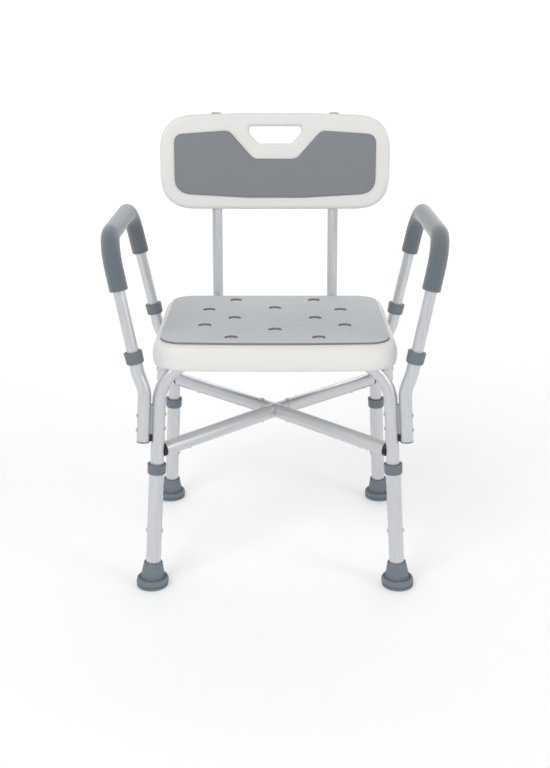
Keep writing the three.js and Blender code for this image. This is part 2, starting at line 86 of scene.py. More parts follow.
FOOT_SOCKET_Z = 31
LEG_TOP_Z = 241
LEG_COLLAR_Z = (226.5, 246)
BUTTON_Z = 112
HOLE_STEP = 15
HOLE_COUNT = 7
HOLE_RADIUS = 4.7
OUTER_LEG_WALL = 1.15

FRAME_RUN_Z = 446
FRAME_BEND = 85
INNER_LEG_BOTTOM_Z = 85

POST_WALL = 1.05
POST_OFFSET = (27, 5)      # from a leg's axis to its armrest post's axis
POST_Z = (292, 388, 420)   # lower end, start of the outward bend, elbow
ARM_INSERT_Z = 427
ARM_KINK_Z = 478
ARM_TOP_X = 301
ARM_TOP_Y = 165.6
ARM_TOP_Z = 670
ARM_BEND = 60
GRIP_RADIUS = 17.3
GRIP_END_Z = 576.5
ARM_COLLAR_HALF = 11
BOLT_Z = (314, 342)
STRIP_Z = (292, 305, 362)  # black end of the strip beside a post, and the rest of it
STRIP_HALF_WIDTH = 5.5
SPACER_HALF_WIDTH = 7      # the strip's black end
BOLT_SHANK = 2.1
BOLT_HEAD = 4

HUB_Z = 285.8              # the brace's arms run from here to each leg's axis
BRACE_FRONT_Z = 270
BRACE_REAR_Z = 294
BRACE_LEG_GAP = 15.5
BRACE_HUB_REACH = 27
HUB_RADIUS = 14.1
HUB_SEAM = 0.9
HUB_RIVET = 34             # from the hub's centre
LEG_RIVET = 74             # from the leg's axis
RIVET_RADIUS = 4.4

BACK_RUN_Z = 410
BACK_BEND = 42
BACK_TILT = math.atan(0.1157)
BACK_HEIGHT = 198
BACK_BULGE = 6
BACK_HALF = 17.5
BACK_BOW = 10
BACK_FOOT_Z = 659          # the panel's lower edge, on the tubes' line
BACK_LINE = (212, 486)     # a point of that line: y from the middle of the feet, and z
BACK_TOP_Z = 853
BACK_POCKET = 13.8         # forward from the panel's middle
BACK_PAD = (14.2, 21.5)
BACK_SCREW_HEIGHTS = {"low": 38, "high": 120}
BRACKET_SCREW_SHIFT = 15.5

SEAT_BOW = 4
SEAT_CORNER = 60
PAD_BOW = 5
PAD_CORNER = 42
PAD_HOLE = 12.5
DRAIN = 5.5
BOSS_RADIUS = 11.6         # the panel stands up inside each hole of the pad
BOSS_TOP_Z = 476
CHANNEL_GAP = 0.8          # between the frame and its channels under the seat
CHANNEL_HALF = 192
# rows of pad holes: distance behind the middle of the feet, and the columns either side
HOLE_ROWS = [
    (146, (-82, 82)), (80, (0,)), (66, (-134, 134)), (1, (-80, 80)), (-54, (-136, 136)), (-85, (0,)),
    (-140, (-82, 82)),
]


# ---- curves and meshes --------------------------------------------------------------------------

def soften(points, closed=False, steps=5):
    """Rounds the corners of a 2-D line. Each point is (a, b) or (a, b, reach of its rounding)."""
    count = len(points)
    result = []
    for i, point in enumerate(points):
        here = Vector(point[:2])
        reach = point[2] if len(point) > 2 else 0
        ends = not closed and i in (0, count - 1)
        if ends or reach <= 0:
            result.append(here)
            continue
        before = Vector(points[i - 1][:2]) - here
        after = Vector(points[(i + 1) % count][:2]) - here
        start = here + before.normalized() * min(reach, before.length * 0.5)
        end = here + after.normalized() * min(reach, after.length * 0.5)
        for k in range(steps + 1):
            t = k / steps
            result.append(start * (1 - t) ** 2 + here * (2 * t * (1 - t)) + end * t ** 2)
    return result


def bent_route(corners, radii, steps=14):
    """Stations (point, tangent) along straight runs with an arc at each inner corner."""
    stations = [(corners[0], (corners[1] - corners[0]).normalized())]
    for i, radius in enumerate(radii, start=1):
        corner = corners[i]
        into = (corner - corners[i - 1]).normalized()
        out = (corners[i + 1] - corner).normalized()
        angle = into.angle(out)
        start = corner - into * radius * math.tan(angle / 2)
        side = (out - into * out.dot(into)).normalized()
        for k in range(steps + 1):
            a = angle * k / steps
            point = start + into * (radius * math.sin(a)) + side * (radius * (1 - math.cos(a)))
            stations.append((point, into * math.cos(a) + side * math.sin(a)))
    stations.append((corners[-1], (corners[-1] - corners[-2]).normalized()))
    return stations


def mesh_object(name, points, faces):
    mesh = bpy.data.meshes.new(name)
    mesh.from_pydata([p * MM for p in points], [], faces)
    mesh.update()
    obj = bpy.data.objects.new(name, mesh)
    bpy.context.scene.collection.objects.link(obj)
    return obj


def ring_faces(a, b, sides):
    """Quads from the ring that starts at point a to the ring that starts at point b."""
    return [(a + k, a + (k + 1) % sides, b + (k + 1) % sides, b + k) for k in range(sides)]


def carried_sides(stations):
    """A sideways vector for each station, carried along the route without twist."""
    tangent = stations[0][1]
    side = tangent.orthogonal().normalized()
    sides = []
    for _, now in stations:
        side = (tangent.rotation_difference(now) @ side).normalized()
        tangent = now
        sides.append(side)
    return sides


def tube(name, stations, radius, bore=None, edge=0.4, sides=ROUND):
    """A hollow tube along stations, with its end edges eased, or a rod where bore is 0."""
    bore = radius - WALL if bore is None else bore
    first, last = stations[0], stations[-1]
    eased = [(first[0], first[1], edge)]
    eased += [(first[0] + first[1] * edge, first[1], 0)]
    eased += [(point, tangent, 0) for point, tangent in stations[1:-1]]
    eased += [(last[0] - last[1] * edge, last[1], 0)]
    eased += [(last[0], last[1], edge)]
    across = carried_sides([(point, tangent) for point, tangent, _ in eased])
    points = []
    for (point, tangent, ease), side in zip(eased, across):
        other = tangent.cross(side)
        for r in (radius - ease, bore):
            for k in range(sides):
                a = 2 * math.pi * k / sides
                points.append(point + side * (r * math.cos(a)) + other * (r * math.sin(a)))
    faces = []
    stride = 2 * sides
    for i in range(len(eased) - 1):
        a, b = i * stride, (i + 1) * stride
        faces += ring_faces(a, b, sides)
        if bore:
            faces += ring_faces(b + sides, a + sides, sides)
    end = (len(eased) - 1) * stride
    if bore:
        faces += ring_faces(sides, 0, sides)
        faces += ring_faces(end, end + sides, sides)
    else:
        faces += [tuple(reversed(range(sides))), tuple(range(end, end + sides))]
    obj = mesh_object(name, points, faces)
    return tidy(obj)


def rod(name, start, end, radius, bore=0, edge=0.3, sides=ROUND):
    direction = (end - start).normalized()
    return tube(name, [(start, direction), (end, direction)], radius, bore, edge, sides)


def aim(origin, direction):
    """Turns +Z to a direction and moves the origin."""
    turn = UP.rotation_difference(direction.normalized())
    return Matrix.Translation(origin) @ turn.to_matrix().to_4x4()


def turned(name, profile, place=Matrix.Identity(4), sides=ROUND, locate=None):
    """A turned piece. Its profile is (radius, height), from axis to axis or closed on itself."""
    closed = profile[0][0] > 1e-6
    points, rings = [], []
    for r, z in profile:
        origin, normal = locate(z) if locate else (UP * z, UP)
        local = aim(origin, normal)
        if r < 1e-6:
            rings.append((len(points), 1))
            points.append(place @ local.translation)
            continue
        rings.append((len(points), sides))
        for k in range(sides):
            a = 2 * math.pi * k / sides
            points.append(place @ (local @ Vector((r * math.cos(a), r * math.sin(a), 0))))
    faces = []
    pairs = list(zip(rings, rings[1:])) + ([(rings[-1], rings[0])] if closed else [])
    for (a, na), (b, nb) in pairs:
        if na == 1 and nb > 1:
            faces += [(a, b + (k + 1) % sides, b + k) for k in range(sides)]
        elif nb == 1 and na > 1:
            faces += [(a + k, a + (k + 1) % sides, b) for k in range(sides)]
        elif na > 1:
            faces += ring_faces(a, b, sides)
    return tidy(mesh_object(name, points, faces))


def tidy(obj, smooth_angle=32):
    """Faces out, no doubles, and sharp edges only where the surface really turns."""
    mesh = bmesh.new()
    mesh.from_mesh(obj.data)
    bmesh.ops.remove_doubles(mesh, verts=mesh.verts, dist=1e-6)
    loose = [v for v in mesh.verts if not v.link_faces]
    bmesh.ops.delete(mesh, geom=loose, context="VERTS")
    bmesh.ops.recalc_face_normals(mesh, faces=mesh.faces)
    for face in mesh.faces:
        face.smooth = True
    limit = math.radians(smooth_angle)
    for edge in mesh.edges:
        edge.smooth = edge.calc_face_angle(0) < limit
    mesh.to_mesh(obj.data)
    mesh.free()
    return obj


def apply_modifiers(obj):
    graph = bpy.context.evaluated_depsgraph_get()
    done = bpy.data.meshes.new_from_object(obj.evaluated_get(graph))
    obj.modifiers.clear()
    obj.data = done
    return obj


def combine(obj, tools, operation):
    """Cuts the tools out of obj, or joins them to it, and removes the tools."""
    for tool in tools:
        step = obj.modifiers.new("step", "BOOLEAN")
        step.operation = operation
        step.solver = "EXACT"
        step.object = tool
        apply_modifiers(obj)
        bpy.data.objects.remove(tool)
    return tidy(obj)


def cut(obj, *tools):
    return combine(obj, tools, "DIFFERENCE")


def joined(obj, *tools):
    return combine(obj, tools, "UNION")


def block(name, low, high, place=Matrix.Identity(4), bevel=0.0):
    """A box with its edges rounded."""
    xs, ys, zs = zip(low, high)
    corners = [Vector((x, y, z)) for z in zs for y in ys for x in xs]
    faces = [(0, 2, 3, 1), (4, 5, 7, 6), (0, 1, 5, 4), (2, 6, 7, 3), (0, 4, 6, 2), (1, 3, 7, 5)]
    obj = mesh_object(name, [place @ c for c in corners], faces)
    if bevel:
        rounding = obj.modifiers.new("edges", "BEVEL")
        rounding.width = bevel * MM
        rounding.segments = 3
        apply_modifiers(obj)
    return tidy(obj)


def slab(name, outline, holes, thickness, rounding):
    """A flat plate in X and Y with rounded rims, centred on Z."""
    curve = bpy.data.curves.new(name, "CURVE")
    curve.dimensions = "2D"
    curve.fill_mode = "BOTH"
    curve.extrude = (thickness / 2 - rounding) * MM
    curve.bevel_depth = rounding * MM
    curve.bevel_resolution = 3
    curve.offset = -rounding * MM
    for loop in [outline] + holes:
        spline = curve.splines.new("POLY")
        spline.points.add(len(loop) - 1)
        for point, (x, y) in zip(spline.points, loop):
            point.co = (x * MM, y * MM, 0, 1)
        spline.use_cyclic_u = True
    source = bpy.data.objects.new(name + "_curve", curve)
    bpy.context.scene.collection.objects.link(source)
    graph = bpy.context.evaluated_depsgraph_get()
    obj = bpy.data.objects.new(name, bpy.data.meshes.new_from_object(source.evaluated_get(graph)))
    bpy.context.scene.collection.objects.link(obj)
    bpy.data.objects.remove(source)
    return tidy(obj)


def circle(x, y, radius, sides=40):
    angles = [2 * math.pi * k / sides for k in range(sides)]
    return [(x + radius * math.cos(a), y + radius * math.sin(a)) for a in angles]


def merged(name, objects):
    """Several separate bodies as one piece."""
    whole = bmesh.new()
    for obj in objects:
        whole.from_mesh(obj.data)
        bpy.data.objects.remove(obj)
    mesh = bpy.data.meshes.new(name)
    whole.to_mesh(mesh)
    whole.free()
    obj = bpy.data.objects.new(name, mesh)
    bpy.context.scene.collection.objects.link(obj)
    return obj


# ---- materials ------------------------------------------------------------------------------------

class Finish:
    """A Principled material built up in steps."""

    def __init__(self, name, color, roughness, **sockets):
        self.material = bpy.data.materials.new(name)
        self.material.use_nodes = True
        self.tree = self.material.node_tree
        self.shader = self.tree.nodes["Principled BSDF"]
        self.color = color
        self.shader.inputs["Base Color"].default_value = (*color, 1)
        self.shader.inputs["Roughness"].default_value = roughness
        for socket, value in sockets.items():
            self.shader.inputs[socket.replace("_", " ")].default_value = value
        self.place = self.node("ShaderNodeTexCoord").outputs["Object"]
        self.height = None

    def node(self, kind, **inputs):
        made = self.tree.nodes.new(kind)
        for name, value in inputs.items():
            self.feed(made.inputs[name.replace("_", " ")], value)
        return made

    def feed(self, socket, value):
        if isinstance(value, bpy.types.NodeSocket):
            self.tree.links.new(value, socket)
        else:
            socket.default_value = value

    def stretched(self, direction, squeeze):
        """Coordinates whose detail runs in long streaks along a direction."""
        turn = direction.normalized().rotation_difference(UP).to_euler()
        level = self.node("ShaderNodeMapping", Vector=self.place, Rotation=turn)
        return self.node(
            "ShaderNodeMapping", Vector=level.outputs["Vector"], Scale=(1, 1, squeeze)).outputs["Vector"]

    def noise(self, scale, detail=3.0, place=None):
        return self.node(
            "ShaderNodeTexNoise", Vector=place or self.place, Scale=scale, Detail=detail).outputs["Fac"]

    def cells(self, scale):
        return self.node("ShaderNodeTexVoronoi", Vector=self.place, Scale=scale).outputs["Distance"]

    def spread(self, value, low, high):
        """A 0 to 1 pattern moved to run from low to high."""
        return self.node("ShaderNodeMapRange", Value=value, To_Min=low, To_Max=high).outputs["Result"]

    def bump(self, height, strength, depth):
        """Adds relief. Later calls lie on earlier ones."""
        made = self.node("ShaderNodeBump", Height=height, Strength=strength, Distance=depth * MM)
        if self.height:
            self.feed(made.inputs["Normal"], self.height)
        self.height = made.outputs["Normal"]
        self.feed(self.shader.inputs["Normal"], self.height)
        return self

    def tint(self, pattern, low, high):
        """Multiplies the colour by a pattern that runs from low to high."""
        mix = self.tree.nodes.new("ShaderNodeMix")
        mix.data_type = "RGBA"
        self.feed(mix.inputs["Factor"], pattern)
        self.feed(mix.inputs["A"], tuple(c * low for c in self.color) + (1,))
        self.feed(mix.inputs["B"], tuple(min(1, c * high) for c in self.color) + (1,))
        self.feed(self.shader.inputs["Base Color"], mix.outputs["Result"])
        return self

    def roughen(self, pattern, low, high):
        self.feed(self.shader.inputs["Roughness"], self.spread(pattern, low, high))
        return self


def aluminium(name, direction):
    """Satin anodised tube, with faint drawing lines along it, lengthwise streaks of painted reflection in its
    colour, and a slightly cloudy sheen.
    """
    finish = Finish(name, (0.61, 0.625, 0.645), 0.34, Metallic=0.78)
    lines = finish.noise(1400, 2, finish.stretched(direction, 0.02))
    streaks = finish.noise(230, 3, finish.stretched(direction, 0.012))
    # Painted reflection: light and dark lengthwise streaks in the colour stand in for streaks reflected along
    # the tube.
    finish.tint(streaks, 0.88, 1.1)
    finish.roughen(lines, 0.26, 0.42)
    finish.bump(lines, 0.12, 0.05)
    finish.bump(finish.noise(2600, 2), 0.06, 0.03)
    return finish.material


def moulded(name, color, roughness, grain, relief, **sockets):
    """Moulded plastic: a fine grain, and a slow waviness that breaks up reflections."""
    finish = Finish(name, color, roughness, **sockets)
    finish.tint(finish.noise(14, 3), 0.97, 1.02)
    finish.roughen(finish.noise(120, 4), roughness - 0.05, roughness + 0.08)
    finish.bump(finish.noise(18, 2), 0.12, 0.5)
    finish.bump(finish.noise(grain, 3), relief, 0.08)
    return finish.material


def foam(name, color, pore, relief, sheen=0.08):
    """Closed-cell foam: a skin of fine pores over a soft mottling."""
    finish = Finish(name, color, 0.88, Sheen_Weight=sheen, Sheen_Roughness=0.5)
    pores = finish.cells(pore)
    finish.tint(finish.noise(pore * 0.6, 4), 0.92, 1.07)
    finish.roughen(finish.noise(60, 3), 0.8, 0.95)
    finish.bump(finish.noise(45, 3), 0.1, 0.6)
    finish.bump(pores, relief, 0.25)
    finish.bump(finish.noise(pore * 2.4, 3), relief * 0.6, 0.12)
    return finish.material


DRAWN_UP = aluminium("drawn_aluminium", UP)
DRAWN_ACROSS = aluminium("drawn_hub", X)
STEEL = moulded("plain_steel", (0.55, 0.56, 0.58), 0.3, 2500, 0.05, Metallic=0.9)
WHITE = moulded("white_polyethylene", (0.735, 0.73, 0.71), 0.42, 900, 0.1)
GREY = moulded("grey_plastic", (0.137, 0.166, 0.197), 0.45, 1200, 0.08)
BLACK = moulded("black_nylon", (0.010, 0.010, 0.012), 0.5, 1200, 0.08)
RUBBER = moulded("foot_rubber", (0.158, 0.185, 0.212), 0.6, 700, 0.16)
STRIP = moulded("strip_plastic", (0.33, 0.35, 0.37), 0.5, 1200, 0.08)
SEAT_FOAM = foam("seat_foam", (0.515, 0.54, 0.56), 900, 0.22)
# Painted shade: a darker foam that stands in for the shadow on the pad's sides and in its holes.
SEAT_FOAM_PAINTED_SHADE = foam("seat_foam_edge", (0.21, 0.215, 0.225), 1500, 0.4)
BACK_FOAM = foam("back_foam", (0.213, 0.226, 0.246), 900, 0.22)
GRIP_FOAM = foam("grip_foam", (0.112, 0.135, 0.158), 1100, 0.3, 0.7)


def paint_shade_on_sides(obj, up, material):
    """Paints shade on the sides of a foam sheet and the walls of its holes: they get a darker finish of their
    own, standing in for shadow.
    """
    obj.data.materials.append(material)
    for face in obj.data.polygons:
        if abs(face.normal.dot(up)) < 0.6:
            face.material_index = 1


def show(obj, material, body, slot, *nodes):
    """Gives a piece its finish and its body, and hides the CAD nodes it stands for."""
    obj.data.materials.clear()
    obj.data.materials.append(material)
    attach(obj, body)
    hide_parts(*nodes)
    return obj


# ---- camera, light and floor ----------------------------------------------------------------------

CAMERA_PITCH = math.radians(18.347)
CAMERA_BACK = 2149.6       # from the middle of the feet
CAMERA_HEIGHT = 1053.9
FOCAL_LENGTH = 52.41       # on a 36 mm frame


def add_camera():
    data = bpy.data.cameras.new("camera")
    data.lens = FOCAL_LENGTH
    data.sensor_width = 36
    camera = bpy.data.objects.new("camera", data)
    feet_y = (middle_mm("foot_front_left").y + middle_mm("foot_rear_left").y) / 2
    camera.location = Vector((0, feet_y - CAMERA_BACK, CAMERA_HEIGHT)) * MM
    camera.rotation_euler = (math.pi / 2 - CAMERA_PITCH, 0, 0)
    bpy.context.scene.collection.objects.link(camera)
    bpy.context.scene.camera = camera


def add_light(name, place, target, size, power):
    data = bpy.data.lights.new(name, "AREA")
    data.shape = "RECTANGLE"
    data.size, data.size_y = size
    data.energy = power
    light = bpy.data.objects.new(name, data)
    light.location = place
    light.rotation_euler = (Vector(target) - Vector(place)).to_track_quat("-Z", "Y").to_euler()
    bpy.context.scene.collection.objects.link(light)


def add_world():
    """Soft light, equally strong from above, below, the front and the back, and weaker from both sides."""
    world = bpy.data.worlds.new("studio")
    world.use_nodes = True
    tree = world.node_tree
    direction = tree.nodes.new("ShaderNodeTexCoord").outputs["Generated"]
    parts = tree.nodes.new("ShaderNodeSeparateXYZ")
    tree.links.new(direction, parts.inputs["Vector"])
    sideways = tree.nodes.new("ShaderNodeMath")
    sideways.operation = "ABSOLUTE"
    tree.links.new(parts.outputs["X"], sideways.inputs[0])
    level = tree.nodes.new("ShaderNodeMapRange")
    level.inputs["From Min"].default_value = 0.35
    level.inputs["From Max"].default_value = 1
    level.inputs["To Min"].default_value = 0.52
    level.inputs["To Max"].default_value = 0.3
    tree.links.new(sideways.outputs["Value"], level.inputs["Value"])
    tree.links.new(level.outputs["Result"], tree.nodes["Background"].inputs["Strength"])
    tree.nodes["Background"].inputs["Color"].default_value = (1, 1, 1, 1)
    bpy.context.scene.world = world


def add_paper():
    """A round floor that sweeps up into a wall all the way round, lit from within to stay pale."""
    reach, radius, height = 4500, 2500, 7000
    section = [(0, 0), (1500, 0), (3000, 0)]
    for k in range(17):
        a = math.pi / 2 * k / 16
        section.append((reach + radius * math.sin(a), radius * (1 - math.cos(a))))
    section.append((reach + radius, height))
    points, rings = [], []
    sides = 96
    for r, z in section:
        rings.append(len(points))
        count = 1 if r == 0 else sides
        points += [Vector((r * math.cos(2 * math.pi * k / sides), r * math.sin(2 * math.pi * k / sides), z))
                   for k in range(count)]
    faces = [(0, rings[1] + k, rings[1] + (k + 1) % sides) for k in range(sides)]
    for a, b in zip(rings[1:], rings[2:]):
        faces += ring_faces(b, a, sides)
    floor = mesh_object("studio_floor", points, faces)
    for face in floor.data.polygons:
        face.use_smooth = True
    paper = Finish("studio_paper", (0.78, 0.78, 0.78), 0.9, Emission_Color=(1, 1, 1, 1))
    parts = paper.node("ShaderNodeSeparateXYZ", Vector=paper.place)
    glow = paper.node("ShaderNodeMapRange", Value=parts.outputs["Y"], From_Min=0.2, From_Max=4.5,
                      To_Min=0.205, To_Max=0.45)
    paper.feed(paper.shader.inputs["Emission Strength"], glow.outputs["Result"])
    paper.material.cycles.emission_sampling = "NONE"
    floor.data.materials.append(paper.material)


def add_studio():
    add_world()
    add_light("key", (-1.4, -2.2, 2.6), (0, 0, 0.4), (1.5, 1.8), 38)
    add_light("fill", (2.4, -1.6, 1.8), (0, 0, 0.5), (0.8, 2.2), 14)
    add_light("rim", (0.3, 2.4, 2.6), (0, 0, 0.5), (2.4, 1.2), 14)
    add_paper()
    bpy.context.scene.view_settings.view_transform = "Standard"


# ---- the four corners -------------------------------------------------------------------------------

class Corner:
    """One leg, its armrest post and what is on them."""

    def __init__(self, name, sx, sy):
        self.name = name
        self.sx = sx
        self.sy = sy
        self.foot = middle_mm(f"foot_{name}")
        self.foot.z = 0
        self.up = -JOINT_AXIS[f"height_{name}"]
        self.side = "left" if sx > 0 else "right"
        self.arm_up = JOINT_AXIS[f"arm_height_{self.side}"]
        self.arm_collar = middle_mm(f"arm_collar_{name}")
        self.post_offset = Vector((sx * POST_OFFSET[0], sy * POST_OFFSET[1], 0))

    def leg(self, z):
        return self.foot + self.up * (z / self.up.z)

    def arm(self, z):
        return self.arm_collar + self.arm_up * ((z - self.arm_collar.z) / self.arm_up.z)

    def brace_run(self):
        """From the hub to this leg's axis."""
        return self.leg(BRACE_FRONT_Z if self.sy < 0 else BRACE_REAR_Z) - hub_centre()

    def brace_direction(self):
        return self.brace_run().normalized()

    def brace(self, distance):
        return hub_centre() + self.brace_direction() * distance

    def brace_reach(self):
        return self.brace_run().length - BRACE_LEG_GAP


CENTRE_Y = (middle_mm("foot_front_left").y + middle_mm("foot_rear_left").y) / 2


def hub_centre():
    return Vector((0, CENTRE_Y, HUB_Z))


CORNERS = [
    Corner("front_left", 1, -1),
    Corner("front_right", -1, -1),
    Corner("rear_left", 1, 1),
    Corner("rear_right", -1, 1),
]


def add_foot(corner):
    def locate(z):
        t = min(max((z - 13) / 14, 0), 1)
        lean = t * t * (3 - 2 * t)
        return corner.leg(z), UP.lerp(corner.up, lean)

    profile = soften([
        (0, 0), (28.6, 0, 1.2), (30.4, 1.8, 0.9), (30.4, 4.8, 0.5), (28.4, 5.6, 0.4), (28.4, 7.2, 0.4),
        (31, 8.2, 0.6), (31, 13.5, 3), (29, 18, 1.8), (26.4, 17.6, 1.4), (23.6, 14.8, 1.2), (22.5, 15.8, 0.8),
        (21.7, 27, 4), (18, 47.4, 1.4), (17.4, 48.6, 0.6), (15.6, 48.6, 0.5), (15.1, 47, 0.6),
        (14.7, FOOT_SOCKET_Z - 0.3), (0, FOOT_SOCKET_Z - 0.3),
    ])
    foot = turned(f"rubber_foot_{corner.name}", profile, locate=locate, sides=FOOT_ROUND)
    show(foot, RUBBER, f"leg_{corner.name}", "rubber", f"foot_{corner.name}")


def across_leg(corner, side):
    """Level with the snap buttons: out of the tube's side, square to the leg."""
    return (UP.rotation_difference(corner.up) @ X) * side


def add_leg(corner):
    body = f"leg_{corner.name}"
    name = f"extension_tube_{corner.name}"
    low, high = corner.leg(FOOT_SOCKET_Z), corner.leg(LEG_TOP_Z)
    obj = rod(name, low, high, OUTER_LEG, OUTER_LEG - OUTER_LEG_WALL, 0.35)
    out = across_leg(corner, 1) * 22
    holes = []
    for k in range(HOLE_COUNT):
        place = corner.leg(BUTTON_Z) + corner.up * (k * HOLE_STEP)
        holes.append(rod("hole", place - out, place + out, HOLE_RADIUS, edge=0.1, sides=SCREW_ROUND))
    show(cut(obj, merged("holes", holes)), DRAWN_UP, body, "aluminium", f"leg_extension_{corner.name}")

    low, high = LEG_COLLAR_Z
    collar = soften([
        (14.6, low, 0.4), (16.4, low, 0.8), (17.3, low + 1.6, 1), (17.5, high - 4.6, 1.5),
        (18, high - 1.8, 1), (17.8, high, 0.7), (15.6, high, 0.7), (13.3, high - 1.8, 0.5),
        (13.2, LEG_TOP_Z + 0.4, 0.3), (14.6, LEG_TOP_Z + 0.4, 0.2),
    ], closed=True)
    obj = turned(f"leg_sleeve_{corner.name}", collar, locate=lambda z: (corner.leg(z), corner.up))
    show(obj, GREY, body, "grey_plastic", f"leg_collar_{corner.name}")

    knob = soften([(0, 8.6), (5.2, 8.6), (5.2, 9.7), (4.3, 9.7), (4.3, 15.3, 1.2), (3, 16.5, 1.2), (0, 16.8)])
    for side in (1, -1):
        place = "outer" if side * corner.sx > 0 else "inner"
        obj = turned(f"snap_button_{corner.name}_{place}", knob,
                     aim(corner.leg(BUTTON_Z), across_leg(corner, side)), sides=BUTTON_ROUND)
        show(obj, STEEL, f"button_{corner.name}_{place}", "steel", f"leg_button_{corner.name}_{place}")


# ---- frame -----------------------------------------------------------------------------------------

def frame_route(left, right):
    up_left = [left.leg(INNER_LEG_BOTTOM_Z), left.leg(FRAME_RUN_Z)]
    down_right = [right.leg(FRAME_RUN_Z), right.leg(INNER_LEG_BOTTOM_Z)]
    return bent_route(up_left + down_right, [FRAME_BEND, FRAME_BEND], 20)


def add_frames():
    for end, left, right in (("front", CORNERS[0], CORNERS[1]), ("rear", CORNERS[2], CORNERS[3])):
        obj = tube(f"seat_frame_{end}", frame_route(left, right), INNER_LEG)
        show(obj, DRAWN_UP, "chassis", "aluminium", f"{end}_frame")


def add_brace():
    shell, core = [], []
    for corner in CORNERS:
        shell.append(rod("arm", corner.brace(-1), corner.brace(BRACE_HUB_REACH - 0.3), HUB_RADIUS, edge=0.4))
        core.append(rod("arm", corner.brace(-1), corner.brace(60), BRACE_TUBE - WALL - 0.4, edge=0.6))
    hub = joined(shell[0], *shell[1:])
    half = Vector((HUB_SEAM / 2, 40, 40))
    seam = block("seam", hub_centre() - half, hub_centre() + half)
    hub = merged("brace_hub_shell", [cut(hub, seam), joined(core[0], *core[1:])])
    show(hub, DRAWN_ACROSS, "chassis", "aluminium", "brace_hub")
    for corner in CORNERS:
        add_brace_arm(corner)


def add_brace_arm(corner):
    reach = corner.brace_reach()
    direction = corner.brace_direction()
    finish = aluminium(f"drawn_brace_{corner.name}", direction)
    obj = rod(f"cross_tube_{corner.name}", corner.brace(BRACE_HUB_REACH), corner.brace(reach),
              BRACE_TUBE, BRACE_TUBE - WALL, 0.4)
    show(obj, finish, "chassis", "aluminium", f"brace_tube_{corner.name}")

    nose = soften([
        (0, -14), (12.4, -14), (12.4, 0.4), (13.9, 0.4, 0.5), (13.7, 3, 1.5), (12.6, 6.5), (0, 6.5),
    ])
    saddle = turned(f"brace_seat_{corner.name}", nose, aim(corner.brace(reach), direction))
    z = corner.brace(reach + BRACE_LEG_GAP).z
    leg = rod("leg", corner.leg(z - 40), corner.leg(z + 40), INNER_LEG + 0.3)
    show(cut(saddle, leg), BLACK, "chassis", "black_plastic", f"brace_saddle_{corner.name}")

    head = soften([
        (0, 13.6), (RIVET_RADIUS, 13.6), (RIVET_RADIUS, 15.2, 0.6), (RIVET_RADIUS - 1.2, 16.5, 1), (0, 17),
    ])
    near_leg = reach + BRACE_LEG_GAP - LEG_RIVET
    rivets = (("hub", HUB_RIVET, "top"), ("hub", HUB_RIVET, "under"), ("leg", near_leg, "under"))
    for label, distance, face in rivets:
        place = aim(corner.brace(distance), UP if face == "top" else -UP)
        rivet = turned(f"brace_rivet_{label}_{corner.name}_{face}", head, place, sides=SCREW_ROUND)
        show(rivet, STEEL, "chassis", "steel")


# ---- armrests ----------------------------------------------------------------------------------------

def plug(name, origin, direction, radius, bore, depth=8, proud=2.6):
    profile = soften([
        (0, -depth), (bore - 0.4, -depth), (bore - 0.4, 0.2), (radius + 0.1, 0.2, 0.3),
        (radius + 0.1, proud * 0.6, 0.8), (radius - 1.4, proud, 1.2), (0, proud + 0.3),
    ])
    return turned(name, profile, aim(origin, direction), sides=PLUG_ROUND)


def add_post(corner):
    low, bend, elbow = POST_Z
    top = corner.arm_collar + corner.arm_up * (ARM_COLLAR_HALF - 1.9)
    route = bent_route(
        [corner.leg(low) + corner.post_offset, corner.leg(bend) + corner.post_offset, corner.arm(elbow), top],
        [60, 60], 8)
    bore = POST_TUBE - POST_WALL
    obj = tube(f"post_tube_{corner.name}", route, POST_TUBE, bore, 0.5)
    show(obj, DRAWN_UP, "chassis", "aluminium", f"arm_post_{corner.name}")
    end = plug(f"post_plug_{corner.name}", route[0][0], -route[0][1], POST_TUBE, bore)
    show(end, GREY, "chassis", "grey_plastic")

    half = ARM_COLLAR_HALF
    collar = soften([
        (12.8, -half, 0.4), (15.6, -half, 0.8), (16.6, -half + 1.8, 1.1), (17, half - 5, 1.5),
        (17.4, half - 2, 1), (17.2, half, 0.7), (14.2, half, 0.7), (11.7, half - 0.9, 0.4),
        (11.7, half - 1.6, 0.2), (12.8, half - 1.6, 0.2),
    ], closed=True)
    obj = turned(f"arm_sleeve_{corner.name}", collar, aim(corner.arm_collar, corner.arm_up))
    show(obj, GREY, "chassis", "grey_plastic", f"arm_collar_{corner.name}")


def add_fixing(corner):
    """Two bolts and a strip between a post and its leg."""
    out = corner.post_offset.normalized()
    length = INNER_LEG + corner.post_offset.length + POST_TUBE
    profile = soften([
        (0, -1.9), (2.2, -1.8, 0.8), (BOLT_HEAD, -0.6, 0.6), (BOLT_HEAD, 0), (BOLT_SHANK, 0),
        (BOLT_SHANK, length), (BOLT_HEAD, length), (BOLT_HEAD, length + 0.6, 0.6),
        (2.2, length + 1.8, 0.8), (0, length + 1.9),
    ])
    starts = [corner.leg(z) - out * INNER_LEG for z in BOLT_Z]
    bolts = [turned("bolt", profile, aim(start, out), sides=SCREW_ROUND) for start in starts]
    obj = merged(f"post_bolts_{corner.name}", bolts)
    show(obj, STEEL, "chassis", "steel", f"arm_fixing_{corner.name}")

    low, middle, high = STRIP_Z
    strip = post_strip(f"post_strip_{corner.name}", corner, middle + 0.2, high, STRIP_HALF_WIDTH)
    show(strip, STRIP, "chassis", "grey_plastic")
    spacer = post_strip(f"post_spacer_{corner.name}", corner, low, middle, SPACER_HALF_WIDTH)
    show(spacer, BLACK, "chassis", "black_plastic")


